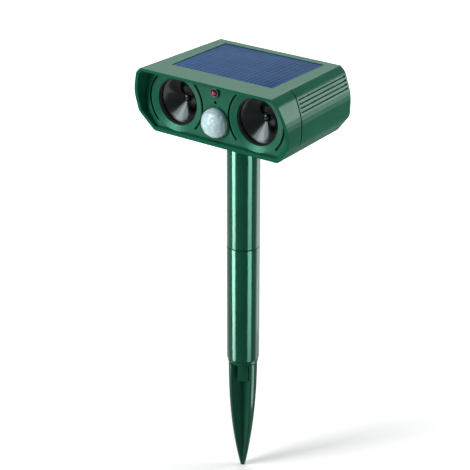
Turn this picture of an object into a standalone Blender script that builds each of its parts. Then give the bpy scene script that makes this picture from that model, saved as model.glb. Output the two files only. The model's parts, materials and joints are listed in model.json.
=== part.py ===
"""Solar ultrasonic pest repeller on a two-piece garden pole.

Metres, +Z up, front faces -Y.  The origin is on the pole's axis at the soil line,
the underside of the spike's collar.  Sizes inside the head are measured from the
middle of its underside, which the empty head_pivot marks.
"""
import math

import bmesh
import bpy
from mathutils import Vector

# Fits
GAP = 0.0003                    # clearance between neighbouring pieces
OVERSHOOT = 0.001               # how far a cutter runs past the face it cuts
FUSE = 0.0005                   # how deep one shape runs into the shape it is united with
ROUND_SIDES = 40
SMALL_SIDES = 20
HOLE_SIDES = 14
SCREW_SIDES = 12
SMOOTH_ANGLE = math.radians(35)

# Pole
TUBE_RADIUS = 0.0150
TUBE_WALL = 0.0025
TUBE_EDGE = 0.0005              # chamfer at the tube ends
SPIGOT_LENGTH = 0.0220
LOWER_TUBE_LENGTH = 0.1134
UPPER_TUBE_LENGTH = 0.1073      # from the tube seam to the underside of the head
SOCKET_DEPTH = 0.0160
SOCKET_WALL = 0.0025

# Spike
SPIKE_LENGTH = 0.1150
COLLAR_HEIGHT = 0.0038
COLLAR_STEP = 0.0008            # the collar is this much smaller in radius than the tube
VANE_THICKNESS = 0.0050
VANE_TIP_RADIUS = 0.0020
VANE_TAPER_POWER = 2.3
VANE_LEVELS = 10
TONGUE_WIDTH = 0.0100
TONGUE_LENGTH = 0.0170
TONGUE_THICKNESS = 0.0030
TONGUE_REACH = 0.0125           # outer face of the tongues ahead of the axis
TONGUE_TURN = math.radians(-36)  # from the first vane
SPIKE_TURN = math.radians(-18)

# Speakers
OPENING_RADIUS = 0.0210
SPEAKER_FLANGE = 0.0025
FLARE_WIDTH = 0.0054
FLARE_DEPTH = 0.0018
ARC_MARGIN = 0.0074             # from the opening to the middle of the arc grooves
ARC_WIDTH = 0.0018
ARC_DEPTH = 0.0019
ARC_HALF_SWEEP = math.radians(45)
GASKET_THICKNESS = 0.0030
GASKET_LIP = 0.0008             # how far the gasket shows inside the opening
CONE_DEPTH = 0.0110
CONE_SKIN = 0.0006
CONE_APEX_RADIUS = 0.0012
CAP_RADIUS = 0.0034              # dome over the apex of the cone
CAP_HEIGHT = 0.0020
CAP_STEPS = 4
FRAME_WALL = 0.0017
FRAME_BACK = 0.0020
FRAME_VENT_RADIUS = 0.0030
PIEZO_RADIUS = 0.0080
PIEZO_THICKNESS = 0.0008

# Motion sensor, LED and light sensor
LENS_RADIUS = 0.0130
LENS_HEIGHT = 0.0099
LENS_SKIN = 0.0010
LENS_FLANGE = 0.0012
LENS_DROP = 0.0094              # lens centre below the speaker centres
BEZEL_WIDTH = 0.0008
BEZEL_HEIGHT = 0.0008
RETAINER_THICKNESS = 0.0015
SENSOR_CAN_RADIUS = 0.0046
LED_RADIUS = 0.0025
LED_FLANGE = 0.0004
LED_FLANGE_HEIGHT = 0.0010
LED_RISE = 0.0176               # LED centre above the speaker centres
LED_STANDOUT = 0.0036           # LED tip ahead of the front panel
CLIP_RADIUS = 0.0044             # black clip that holds the LED in the front panel
CLIP_HEIGHT = 0.0016
CLIP_CHAMFER = 0.0006
CLIP_SLEEVE = 0.0007
LIGHT_SENSOR_RADIUS = 0.0015
LIGHT_HOLE_RADIUS = 0.0014
LIGHT_RISE = 0.0085
BOARD_THICKNESS = 0.0016
SENSOR_BOARD_REAR_ROOM = 0.0065  # from the front panel's back to the sensor board
SENSOR_POST_RADIUS = 0.0022
SENSOR_SCREW_X = 0.0095
SENSOR_SCREW_RISE = 0.0136

# Case
WALL = 0.0030
FLOOR = 0.0030
TOP_WALL = 0.0055
SPEAKER_ROOM_BELOW = 0.0039
SPEAKER_ROOM_ABOVE = 0.0009
SIDE_MARGIN = 0.0106            # from the outer arc grooves to the widest point of the case
TOP_LEAN = 0.0126               # how far the top edge stands in from the widest point
SHOULDER_LEAN = 0.0070
SHOULDER_DROP = 0.0046
BULGE_HEIGHT = 0.0363
CHAMFER_LEAN = 0.0008
CHAMFER_HEIGHT = 0.0168
BOTTOM_LEAN = 0.0146
CORNER_RADII = (0.0012, 0.0100, 0.0400, 0.0090, 0.0050)
CORNER_STEPS = 4
REAR_NARROWING = 0.06           # share of the width lost between the visor and the rear
PANEL_REACH = 0.0402            # front panel's face ahead of the pole axis
PANEL_THICKNESS = 0.0026
VISOR_REACH = 0.0159            # visor ahead of the front panel at the top
LIP_REACH = 0.0018              # and at the bottom
VISOR_EDGE = 0.0025             # thickness of the visor's front edge
FLANGE_INSET = 0.0042           # inner edge of the flange that the front panel sits behind
HOOD_DEPTH = 0.0122             # closed ring behind the front panel's face
SEAM_HEIGHT = 0.0138
RING_GROOVE_WIDTH = 0.0014      # groove behind the visor ring, level with the front end of the lower case
RING_GROOVE_DEPTH = 0.0007
RIB_SETBACK = 0.0025
RIB_END = 0.0025
RIB_RAMP = 0.0006
RIB_TOP_DROP = 0.0060
RIB_PITCH = 0.0034
GROOVE_COUNT = 4
GROOVE_WIDTH = 0.0016
GROOVE_DEPTH = 0.0011
REAR_PANEL_THICKNESS = 0.0025
REAR_RECESS = 0.0005

# Solar panel
SOLAR_SIDE_MARGIN = 0.0120
SOLAR_FRONT_MARGIN = 0.0240
SOLAR_REAR_MARGIN = 0.0080
SOLAR_THICKNESS = 0.0022
SOLAR_RECESS = 0.0003
PAD_THICKNESS = 0.0006
PAD_MARGIN = 0.0040
LEAD_RADIUS = 0.0008
LEAD_STEPS = 4

# Batteries
CELL_DIAMETER = 0.0145
CELL_BODY_LENGTH = 0.0492
NUB_LENGTH = 0.0013
NUB_RADIUS = 0.00275
CONTACT_THICKNESS = 0.0010
BAY_WALL = 0.0012
BAY_ROOF = 0.0020
RAIL_LIP = 0.0012
DOOR_TONGUE = 0.0009
DOOR_TONGUE_WIDTH = 0.0012
DOOR_FLUSH = 0.0002
DOOR_GRIP_HALF_WIDTH = 0.0120
DOOR_GRIP_WIDTH = 0.0014
DOOR_GRIP_DEPTH = 0.0005
DOOR_GRIP_COUNT = 3

# Main board and what stands on it
STANDOFF_HEIGHT = 0.0080
STANDOFF_RADIUS = 0.0030
BOARD_MARGIN = 0.0040
TRANSFORMER_RADIUS = 0.0060
TRANSFORMER_HEIGHT = 0.0100
CAPACITOR_RADIUS = 0.0040
CAPACITOR_HEIGHT = 0.0060
CHIP_SIZE = (0.0120, 0.0090, 0.0018)
SOCKET_SIZE = (0.0092, 0.0098, 0.0042)   # charging socket: width, depth, height

# Rear dials
POT_RADIUS = 0.0080
POT_DEPTH = 0.0080
POT_CLEARANCE = 0.0060          # pot above the main board
POT_SPREAD = 0.0280
BUSHING_RADIUS = 0.0036
BUSHING_STANDOUT = 0.0006
SHAFT_RADIUS = 0.0020
SHAFT_DEPTH_IN_POT = 0.0040
KNOB_RADIUS = 0.0085
KNOB_HEIGHT = 0.0095
KNOB_FLUTES = 18
KNOB_FLUTE_DEPTH = 0.0006
KNOB_ROOF = 0.0020
POINTER_WIDTH = 0.0012
POINTER_DEPTH = 0.0005

# Charging port cover
COVER_MARGIN = 0.0024
COVER_THICKNESS = 0.0016

# Screws
SCREW_RADIUS = 0.0013
SCREW_HEAD_RADIUS = 0.0028
SCREW_HEAD_HEIGHT = 0.0018
SCREW_RECESS = 0.0004
SCREW_BITE = 0.0080
SCREW_SLOT_WIDTH = 0.0008
SCREW_SLOT_DEPTH = 0.0007
POST_RADIUS = 0.0042
POST_HEIGHT = 0.0072
POST_CLEARANCE = 0.0030
BOARD_SCREW_BITE = 0.0050

# Heights on the pole
TUBE_BORE = TUBE_RADIUS - TUBE_WALL
SPIGOT_RADIUS = TUBE_BORE - GAP
LOWER_TUBE_BASE = COLLAR_HEIGHT + GAP
LOWER_TUBE_TOP = LOWER_TUBE_BASE + LOWER_TUBE_LENGTH
UPPER_TUBE_BASE = LOWER_TUBE_TOP + GAP
HEAD_BASE = UPPER_TUBE_BASE + UPPER_TUBE_LENGTH
SOCKET_OUTER = TUBE_RADIUS + GAP + SOCKET_WALL

# Speaker and head sizes that follow from what the head holds
SPEAKER_RADIUS = OPENING_RADIUS + SPEAKER_FLANGE
ARC_RADIUS = OPENING_RADIUS + ARC_MARGIN
SPEAKER_X = LENS_RADIUS + BEZEL_WIDTH + ARC_RADIUS
SPEAKER_Z = FLOOR + SPEAKER_ROOM_BELOW + SPEAKER_RADIUS
HEAD_HEIGHT = SPEAKER_Z + SPEAKER_RADIUS + SPEAKER_ROOM_ABOVE + TOP_WALL
BULGE_HALF = SPEAKER_X + ARC_RADIUS + SIDE_MARGIN
LENS_Z = SPEAKER_Z - LENS_DROP
LED_Z = SPEAKER_Z + LED_RISE
LIGHT_Z = SPEAKER_Z + LIGHT_RISE
CLIP_BORE = LED_RADIUS + GAP

# Depths, front to rear
PANEL_Y = -PANEL_REACH
PANEL_BACK = PANEL_Y + PANEL_THICKNESS
FLANGE_Y = PANEL_Y - GAP
VISOR_Y = PANEL_Y - VISOR_REACH
LIP_Y = PANEL_Y - LIP_REACH
HOOD_BACK = PANEL_Y + HOOD_DEPTH
GASKET_Y = PANEL_BACK + GAP
CONE_Y = GASKET_Y + GASKET_THICKNESS + GAP
FRAME_Y = CONE_Y + CONE_SKIN + GAP
PIEZO_Y = CONE_Y + CONE_DEPTH + CONE_SKIN + GAP
FRAME_BACK_Y = PIEZO_Y + PIEZO_THICKNESS + GAP + FRAME_BACK
SENSOR_BOARD_Y = PANEL_BACK + SENSOR_BOARD_REAR_ROOM
BAY_FRONT = SOCKET_OUTER
BAY_BACK = BAY_FRONT + 2 * CELL_DIAMETER + 3 * GAP
BAY_OUTER_BACK = BAY_BACK + BAY_WALL
REAR_PANEL_Y = BAY_OUTER_BACK + GAP
REAR_PANEL_BACK = REAR_PANEL_Y + REAR_PANEL_THICKNESS
REAR_Y = REAR_PANEL_BACK + REAR_RECESS

# Battery bay
CELL_LENGTH = CELL_BODY_LENGTH + NUB_LENGTH
BAY_HALF = CELL_LENGTH + GAP / 2 + GAP + CONTACT_THICKNESS + GAP
RAIL_HALF = BAY_HALF + DOOR_TONGUE_WIDTH + GAP
BAY_OUTER_HALF = RAIL_HALF + BAY_WALL
DOOR_TOP = RAIL_LIP + GAP + DOOR_TONGUE
CELL_Z = DOOR_TOP + GAP + CELL_DIAMETER / 2
BAY_TOP = CELL_Z + CELL_DIAMETER / 2 + GAP
BAY_OUTER_TOP = BAY_TOP + BAY_ROOF

# Screw places in the head, front pair then rear pair
FRONT_POST = (SOCKET_OUTER + 2 * POST_RADIUS + POST_CLEARANCE,
              FRAME_BACK_Y + POST_RADIUS + POST_CLEARANCE)
REAR_POST = (BAY_OUTER_HALF, BAY_FRONT - BAY_WALL - POST_RADIUS - POST_CLEARANCE)

# Main board and rear dials
BOARD_Z = BAY_OUTER_TOP + STANDOFF_HEIGHT + GAP
BOARD_TOP = BOARD_Z + BOARD_THICKNESS
BOARD_HALF = BAY_OUTER_HALF - POST_RADIUS - POST_CLEARANCE - BOARD_MARGIN
BOARD_FRONT = FRONT_POST[1] + POST_RADIUS + POST_CLEARANCE
BOARD_BACK = BAY_BACK - GAP
STANDOFF_X = BOARD_HALF - BOARD_MARGIN
STANDOFF_Y = (BAY_FRONT + BOARD_MARGIN, BAY_BACK - BOARD_MARGIN)
POT_Z = BOARD_TOP + POT_CLEARANCE + POT_RADIUS
KNOB_Y = REAR_PANEL_BACK + BUSHING_STANDOUT + GAP
PORT_Z = BOARD_TOP + GAP + SOCKET_SIZE[2] / 2
COVER_AXIS_Y = REAR_PANEL_BACK + GAP + COVER_THICKNESS / 2
COVER_AXIS_Z = PORT_Z + SOCKET_SIZE[2] / 2 + COVER_MARGIN + COVER_THICKNESS / 2

# Solar panel pocket
SOLAR_FRONT = VISOR_Y + SOLAR_FRONT_MARGIN
SOLAR_BACK = REAR_Y - SOLAR_REAR_MARGIN
SOLAR_TOP = HEAD_HEIGHT - SOLAR_RECESS
SOLAR_BASE = SOLAR_TOP - SOLAR_THICKNESS
PAD_BASE = SOLAR_BASE - GAP - PAD_THICKNESS
POCKET_FLOOR = PAD_BASE - GAP
SOLAR_HALF = (BULGE_HALF - TOP_LEAN) * (1 - REAR_NARROWING) - SOLAR_SIDE_MARGIN
LEAD_HOLE_RADIUS = LEAD_RADIUS + GAP
SOLAR_LEAD_Y = BOARD_FRONT + BOARD_MARGIN


# Shapes
def mesh_from(bm):
    """Turn a bmesh into a mesh whose faces point outwards."""
    bmesh.ops.recalc_face_normals(bm, faces=bm.faces)
    mesh = bpy.data.meshes.new("shape")
    bm.to_mesh(mesh)
    bm.free()
    return mesh


def loft(rings):
    """Skin closed rings of equal length and cap the first and the last."""
    bm = bmesh.new()
    loops = [[bm.verts.new(point) for point in ring] for ring in rings]
    count = len(loops[0])
    for near, far in zip(loops, loops[1:]):
        for i in range(count):
            j = (i + 1) % count
            bm.faces.new((near[i], near[j], far[j], far[i]))
    bm.faces.new(loops[0])
    bm.faces.new(loops[-1])
    return mesh_from(bm)


def prism(outline, low, high, axis="Y"):
    """Extrude a flat outline; it is (x, z) along Y and (x, y) along Z."""
    if axis == "Y":
        return loft([[(a, level, b) for a, b in outline] for level in (low, high)])
    return loft([[(a, b, level) for a, b in outline] for level in (low, high)])


def box(low, high):
    """A block between two corners."""
    outline = ((low[0], low[1]), (high[0], low[1]), (high[0], high[1]), (low[0], high[1]))
    return prism(outline, low[2], high[2], "Z")


def turned(profile, axis="Z", centre=(0, 0), sides=ROUND_SIDES):
    """Turn a (radius, height) profile about an axis through centre.

    A profile that starts and ends on the axis gives a solid, any other a ring.
    """
    def place(radius, height, angle):
        across = radius * math.cos(angle) + centre[0]
        other = radius * math.sin(angle) + centre[1]
        return (across, height, other) if axis == "Y" else (across, other, height)

    bm = bmesh.new()
    loops = []
    for radius, height in profile:
        count = sides if radius > 0 else 1
        angles = (math.tau * i / sides for i in range(count))
        loops.append([bm.verts.new(place(radius, height, angle)) for angle in angles])
    pairs = list(zip(loops, loops[1:]))
    if profile[0][0] > 0:
        pairs.append((loops[-1], loops[0]))
    for near, far in pairs:
        for i in range(sides):
            j = (i + 1) % sides
            corners = [near[i % len(near)], near[j % len(near)], far[j % len(far)], far[i % len(far)]]
            bm.faces.new(list(dict.fromkeys(corners)))
    return mesh_from(bm)


def rod(radius, low, high, axis="Z", centre=(0, 0), sides=SMALL_SIDES):
    """A plain round bar."""
    return turned([(0, low), (radius, low), (radius, high), (0, high)], axis, centre, sides)


def post(place, radius, root, end, bite, axis="Z"):
    """A round post from its root to its free end, with a blind screw hole in the end."""
    hole = SCREW_RADIUS + GAP
    inward = math.copysign(bite, root - end)
    return turned([(0, root), (radius, root), (radius, end), (hole, end), (hole, end + inward),
                   (0, end + inward)], axis, place, SMALL_SIDES)


def combine(base, tool, operation):
    """Unite a shape with another, or cut the other out of it."""
    body = bpy.data.objects.new("body", base)
    other = bpy.data.objects.new("other", tool)
    for item in (body, other):
        bpy.context.scene.collection.objects.link(item)
    modifier = body.modifiers.new("combine", "BOOLEAN")
    modifier.operation = operation
    modifier.solver = "EXACT"
    modifier.object = other
    graph = bpy.context.evaluated_depsgraph_get()
    result = bpy.data.meshes.new_from_object(body.evaluated_get(graph))
    for item in (body, other):
        bpy.data.objects.remove(item)
    return result


def unite(base, *tools):
    for tool in tools:
        base = combine(base, tool, "UNION")
    return base


def cut(base, *tools):
    for tool in tools:
        base = combine(base, tool, "DIFFERENCE")
    return base


# Objects
def material(name, colour, roughness, metallic=0.0):
    made = bpy.data.materials.new(name)
    made.use_nodes = True
    shader = made.node_tree.nodes["Principled BSDF"]
    shader.inputs["Base Color"].default_value = (*colour, 1.0)
    shader.inputs["Roughness"].default_value = roughness
    shader.inputs["Metallic"].default_value = metallic
    return made


def part(name, shape, finish, parent=None, location=(0, 0, 0), turn=0.0):
    """Add a named piece to the scene, smooth where its faces meet at a flat angle."""
    if not shape.materials:
        shape.materials.append(finish)
    shape.name = name
    shape.shade_smooth()
    shape.set_sharp_from_angle(angle=SMOOTH_ANGLE)
    piece = bpy.data.objects.new(name, shape)
    bpy.context.scene.collection.objects.link(piece)
    piece.parent = parent
    piece.location = location
    piece.rotation_euler.z = turn
    return piece


# Case outline
def line_crossing(first, second):
    """Where two (point, direction) lines in a plane meet."""
    (p, d), (q, e) = first, second
    along = (q - p).cross(e) / d.cross(e)
    return p + d * along


def case_corners(side_inset, top_inset, floor_inset):
    """Corners of the right half of the case's section, moved inwards by the insets."""
    corners = [Vector((BULGE_HALF - TOP_LEAN, HEAD_HEIGHT)),
               Vector((BULGE_HALF - SHOULDER_LEAN, HEAD_HEIGHT - SHOULDER_DROP)),
               Vector((BULGE_HALF, BULGE_HEIGHT)),
               Vector((BULGE_HALF - CHAMFER_LEAN, CHAMFER_HEIGHT)),
               Vector((BULGE_HALF - BOTTOM_LEAN, 0))]
    lines = [(Vector((0, HEAD_HEIGHT - top_inset)), Vector((1, 0)))]
    for upper, lower in zip(corners, corners[1:]):
        along = (lower - upper).normalized()
        inward = Vector((along.y, -along.x))
        lines.append((upper + inward * side_inset, along))
    lines.append((Vector((0, floor_inset)), Vector((1, 0))))
    return [line_crossing(a, b) for a, b in zip(lines, lines[1:])]


def half_outline(side_inset=0.0, top_inset=0.0, floor_inset=0.0):
    """Right half of the case's section, top to bottom, with rounded corners."""
    corners = case_corners(side_inset, top_inset, floor_inset)
    path = [Vector((0, corners[0].y)), *corners, Vector((0, corners[-1].y))]
    points = []
    for before, corner, after, radius in zip(path, path[1:], path[2:], CORNER_RADII):
        into, out = (before - corner), (after - corner)
        half_angle = into.angle(out) / 2
        reach = max(radius - side_inset, GAP) / math.tan(half_angle)
        reach = min(reach, into.length * 0.45, out.length * 0.45)
        start = corner + into.normalized() * reach
        end = corner + out.normalized() * reach
        for i in range(CORNER_STEPS + 1):
            t = i / CORNER_STEPS
            weight = 2 * t * (1 - t) * math.sin(half_angle)
            total = (1 - t) ** 2 + weight + t ** 2
            points.append((start * (1 - t) ** 2 + corner * weight + end * t ** 2) / total)
    return [(point.x, point.y) for point in points]


def half_width(outline, height):
    """Half width of an outline at a height."""
    for (x0, z0), (x1, z1) in zip(outline, outline[1:]):
        if z0 >= height > z1:
            return x0 + (x1 - x0) * (z0 - height) / (z0 - z1)
    return outline[-1][0]


def ribbed_outline(groove_depth):
    """The outer half section with its side grooves, which have no depth where smooth."""
    smooth = half_outline()
    rib_top = HEAD_HEIGHT - RIB_TOP_DROP
    rib_base = rib_top - RIB_PITCH * GROOVE_COUNT
    sides = []
    for i in range(GROOVE_COUNT):
        middle = rib_top - RIB_PITCH * (i + 0.5)
        for offset, share in ((0.5, 0), (0.25, 1), (-0.25, 1), (-0.5, 0)):
            height = middle + offset * GROOVE_WIDTH
            sides.append((half_width(smooth, height) - share * groove_depth, height))
    upper = [point for point in smooth if point[1] > rib_top]
    lower = [point for point in smooth if point[1] < rib_base]
    return upper + sides + lower


def clipped(outline, low=None, high=None):
    """The part of a half section above low or below high, ended level."""
    kept = [p for p in outline if (low is None or p[1] > low) and (high is None or p[1] < high)]
    if high is not None:
        kept.insert(0, (half_width(outline, high), high))
    if low is not None:
        kept.append((half_width(outline, low), low))
    return kept


def visor_y(height):
    """The slanted plane of the visor's front edge."""
    return LIP_Y + (VISOR_Y - LIP_Y) * height / HEAD_HEIGHT


def narrowing(depth):
    """The case grows narrower from the visor to the rear."""
    return 1 - REAR_NARROWING * (depth - VISOR_Y) / (REAR_Y - VISOR_Y)


def section(half, depth, width_at=None):
    """A closed ring from a half section, at a depth or on a slanted plane."""
    ring = []
    for side, run in ((1, half), (-1, list(reversed(half)))):
        for x, z in run:
            y = depth(z) if callable(depth) else depth
            scale = narrowing(y if width_at is None else width_at)
            ring.append((side * x * scale, y, z))
    return ring


def inner_section(depth, width_at=None, clearance=0.0):
    """Ring of the case's inside, behind the front panel's flange."""
    inside = half_outline(WALL + clearance, TOP_WALL + clearance, FLOOR + clearance)
    return section(inside, depth, width_at)


# Pole
def ground_spike(finish):
    collar = TUBE_RADIUS - COLLAR_STEP
    top = COLLAR_HEIGHT + SPIGOT_LENGTH
    body = turned([(0, 0), (collar, 0), (collar, COLLAR_HEIGHT), (SPIGOT_RADIUS, COLLAR_HEIGHT),
                   (SPIGOT_RADIUS, top - TUBE_EDGE), (SPIGOT_RADIUS - TUBE_EDGE, top), (0, top)])
    rings = []
    for level in range(VANE_LEVELS + 1):
        share = level / VANE_LEVELS
        swell = 1 - share ** VANE_TAPER_POWER
        reach = VANE_TIP_RADIUS + (TUBE_RADIUS - VANE_TIP_RADIUS) * swell
        half = min(VANE_THICKNESS / 2, reach * 0.8) * (1 - share / 3)
        quarter = ((reach, -half), (reach, half), (half, half))
        height = FUSE - (SPIKE_LENGTH + FUSE) * share
        ring = []
        for x, y in quarter:
            ring.append((x, y, height))
        for _ in range(3):
            ring += [(-y, x, height) for x, y, _ in ring[-3:]]
        rings.append(ring)
    near, half = TONGUE_REACH - TONGUE_THICKNESS, TONGUE_WIDTH / 2
    tongues = []
    for angle in (TONGUE_TURN, TONGUE_TURN + math.pi):
        c, s = math.cos(angle), math.sin(angle)
        corners = ((near, -half), (TONGUE_REACH, -half), (TONGUE_REACH, half), (near, half))
        tongues.append(prism([(x * c - y * s, x * s + y * c) for x, y in corners], -TONGUE_LENGTH, FUSE, "Z"))
    part("ground_spike", unite(body, loft(rings), *tongues), finish, turn=SPIKE_TURN)


def tubes(finish):
    lower = turned([(TUBE_RADIUS - TUBE_EDGE, LOWER_TUBE_TOP), (TUBE_RADIUS, LOWER_TUBE_TOP - TUBE_EDGE),
                    (TUBE_RADIUS, LOWER_TUBE_BASE + TUBE_EDGE), (TUBE_RADIUS - TUBE_EDGE, LOWER_TUBE_BASE),
                    (TUBE_BORE, LOWER_TUBE_BASE), (TUBE_BORE, LOWER_TUBE_TOP)])
    part("lower_tube", lower, finish)
    top = HEAD_BASE + SOCKET_DEPTH
    foot = UPPER_TUBE_BASE - SPIGOT_LENGTH
    spigot_bore = SPIGOT_RADIUS - TUBE_WALL
    upper = turned([(TUBE_RADIUS - TUBE_EDGE, top), (TUBE_RADIUS, top - TUBE_EDGE),
                    (TUBE_RADIUS, UPPER_TUBE_BASE + TUBE_EDGE), (TUBE_RADIUS - TUBE_EDGE, UPPER_TUBE_BASE),
                    (SPIGOT_RADIUS, UPPER_TUBE_BASE), (SPIGOT_RADIUS, foot + TUBE_EDGE),
                    (SPIGOT_RADIUS - TUBE_EDGE, foot), (spigot_bore, foot),
                    (spigot_bore, UPPER_TUBE_BASE + TUBE_WALL), (TUBE_BORE, UPPER_TUBE_BASE + 2 * TUBE_WALL),
                    (TUBE_BORE, top)])
    part("upper_tube", upper, finish)


# Case
def post_places():
    return [(side * x, y) for x, y in (FRONT_POST, REAR_POST) for side in (-1, 1)]


def upper_case(finish, head):
    smooth = ribbed_outline(0.0)
    ribbed = ribbed_outline(GROOVE_DEPTH)
    narrowed = [(max(x - RING_GROOVE_DEPTH, 0), z) for x, z in smooth]
    ring_back = HOOD_BACK - RING_GROOVE_WIDTH / 4
    groove_back = ring_back + RING_GROOVE_WIDTH
    groove_ramp = RING_GROOVE_WIDTH / 4
    rib_start = HOOD_BACK + RIB_SETBACK
    rib_end = REAR_Y - RIB_END
    shell = loft([section(smooth, visor_y), section(smooth, ring_back),
                  section(narrowed, ring_back + groove_ramp / 2), section(narrowed, groove_back - groove_ramp),
                  section(smooth, groove_back), section(smooth, rib_start),
                  section(ribbed, rib_start + RIB_RAMP), section(ribbed, rib_end - RIB_RAMP),
                  section(smooth, rib_end), section(smooth, REAR_Y)])
    inside = loft([inner_section(FLANGE_Y), inner_section(REAR_Y + OVERSHOOT)])
    mouth_edge = half_outline(VISOR_EDGE, VISOR_EDGE, VISOR_EDGE)
    mouth_back = half_outline(FLANGE_INSET, FLANGE_INSET, FLANGE_INSET)
    mouth = loft([section(mouth_edge, VISOR_Y - OVERSHOOT), section(mouth_back, FLANGE_Y + FUSE)])
    wide = BULGE_HALF + OVERSHOOT
    below = box((-wide, HOOD_BACK, -OVERSHOOT), (wide, REAR_Y + OVERSHOOT, SEAM_HEIGHT + GAP / 2))
    pocket = box((-SOLAR_HALF - GAP, SOLAR_FRONT - GAP, POCKET_FLOOR),
                 (SOLAR_HALF + GAP, SOLAR_BACK + GAP, HEAD_HEIGHT + OVERSHOOT))
    lead_hole = rod(LEAD_HOLE_RADIUS, HEAD_HEIGHT - TOP_WALL - OVERSHOOT, POCKET_FLOOR + OVERSHOOT,
                    centre=(0, SOLAR_LEAD_Y))
    shell = cut(shell, inside, mouth, below, pocket, lead_hole)
    foot = POST_HEIGHT + GAP
    for place in post_places():
        root = HEAD_HEIGHT - TOP_WALL + FUSE
        shell = unite(shell, post(place, POST_RADIUS, root, foot, SCREW_BITE + GAP))
    part("upper_case", shell, finish, head)


def lower_case(finish, head):
    outline = clipped(half_outline(), high=SEAM_HEIGHT - GAP / 2)
    shell = loft([section(outline, HOOD_BACK + GAP), section(outline, REAR_Y)])
    inside = loft([inner_section(HOOD_BACK - OVERSHOOT), inner_section(BAY_OUTER_BACK - FUSE)])
    shell = cut(shell, inside)
    low = FLOOR - FUSE
    bay = box((-BAY_OUTER_HALF, BAY_FRONT - BAY_WALL, low), (BAY_OUTER_HALF, BAY_OUTER_BACK, BAY_OUTER_TOP))
    socket = rod(SOCKET_OUTER, low, SOCKET_DEPTH + GAP + SOCKET_WALL, sides=ROUND_SIDES)
    shell = unite(shell, bay, socket)
    seat = SCREW_RECESS + SCREW_HEAD_HEIGHT + GAP
    screw_hole = [(0, -OVERSHOOT), (SCREW_HEAD_RADIUS + GAP, -OVERSHOOT), (SCREW_HEAD_RADIUS + GAP, seat),
                  (SCREW_RADIUS + GAP, seat), (SCREW_RADIUS + GAP, POST_HEIGHT + OVERSHOOT),
                  (0, POST_HEIGHT + OVERSHOOT)]
    for place in standoff_places():
        shell = unite(shell, post(place, STANDOFF_RADIUS, BAY_OUTER_TOP - FUSE, BOARD_Z - GAP,
                                  BOARD_SCREW_BITE))
    for place in post_places():
        shell = unite(shell, rod(POST_RADIUS, low, POST_HEIGHT, centre=place))
        shell = cut(shell, turned(screw_hole, centre=place, sides=HOLE_SIDES))
    pole_bore = rod(TUBE_RADIUS + GAP, -OVERSHOOT, SOCKET_DEPTH + GAP, sides=ROUND_SIDES)
    rails = prism(door_outline(0.0, -OVERSHOOT), BAY_FRONT + GAP, REAR_Y + OVERSHOOT)
    cells = box((-BAY_HALF, BAY_FRONT, RAIL_LIP + FUSE), (BAY_HALF, BAY_BACK, BAY_TOP))
    part("lower_case", cut(shell, pole_bore, rails, cells), finish, head)


def door_outline(clearance, base):
    """Section of the battery door's rails, or with a clearance of the door itself."""
    narrow = BAY_HALF - GAP / 2 - clearance
    wide = RAIL_HALF - clearance
    ledge = RAIL_LIP + clearance
    top = DOOR_TOP + GAP - clearance
    return ((-narrow, base), (narrow, base), (narrow, ledge), (wide, ledge),
            (wide, top), (-wide, top), (-wide, ledge), (-narrow, ledge))


def rear_panel(finish, head):
    inside = half_outline(WALL + GAP, TOP_WALL + GAP, FLOOR)
    outline = clipped(inside, low=SEAM_HEIGHT + GAP)
    plate = loft([section(outline, REAR_PANEL_Y, REAR_PANEL_BACK), section(outline, REAR_PANEL_BACK)])
    low, high = REAR_PANEL_Y - OVERSHOOT, REAR_PANEL_BACK + OVERSHOOT
    for side in (-1, 1):
        plate = cut(plate, rod(BUSHING_RADIUS + GAP, low, high, "Y", (side * POT_SPREAD, POT_Z)))
    half_width_port = SOCKET_SIZE[0] / 2 + GAP
    half_height_port = SOCKET_SIZE[2] / 2 + GAP
    port = box((-half_width_port, low, PORT_Z - half_height_port),
               (half_width_port, high, PORT_Z + half_height_port))
    part("rear_panel", cut(plate, port), finish, head)


# Front panel
def arc_groove(centre_x, middle_angle):
    """Cutter for one shallow arc beside a speaker opening."""
    points = []
    steps = ROUND_SIDES // 4
    for radius, order in ((ARC_RADIUS + ARC_WIDTH / 2, 1), (ARC_RADIUS - ARC_WIDTH / 2, -1)):
        for i in range(steps + 1):
            share = (i / steps * 2 - 1) * order
            angle = middle_angle + ARC_HALF_SWEEP * share
            points.append((centre_x + radius * math.cos(angle), SPEAKER_Z + radius * math.sin(angle)))
    return prism(points, PANEL_Y - OVERSHOOT, PANEL_Y + ARC_DEPTH)


def countersink(hole, mouth, depth, low, high):
    """Profile of a round hole whose front edge opens out to a wider mouth."""
    ahead = (mouth - hole) / depth * FUSE
    return [(0, low), (mouth + ahead, low), (mouth + ahead, PANEL_Y - FUSE), (hole, PANEL_Y + depth),
            (hole, high), (0, high)]


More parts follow.
